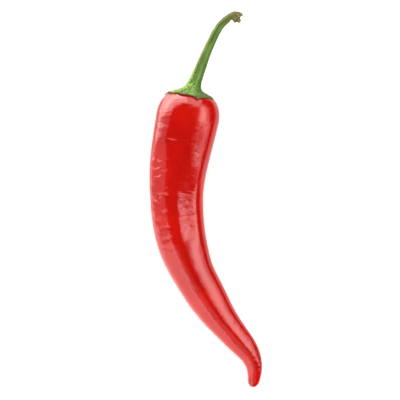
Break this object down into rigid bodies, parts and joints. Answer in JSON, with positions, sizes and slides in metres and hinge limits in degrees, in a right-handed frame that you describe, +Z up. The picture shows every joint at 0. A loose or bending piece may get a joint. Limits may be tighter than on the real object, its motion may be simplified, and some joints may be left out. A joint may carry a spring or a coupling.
{
  "type": "chilli pepper",
  "caption": "Long tapering red chilli pepper lying on its side, gently curved, with a green calyx and a ribbed green stem.",
  "frame": {"origin": "on the surface that the pod lies on, under the middle of the whole part's bounding box", "axes": "+Z up from the surface, +Y towards the stem's end, +X towards the side that the pod bends to"},
  "size_m": [0.0434, 0.1436, 0.023],
  "materials": {
    "pod_skin": "gloss",
    "calyx_green": "satin",
    "stem_green": "satin"
  },
  "bodies": {
    "root": {"pod": "pod_skin", "calyx": "calyx_green", "stem": "stem_green"}
  },
  "joints": []
}
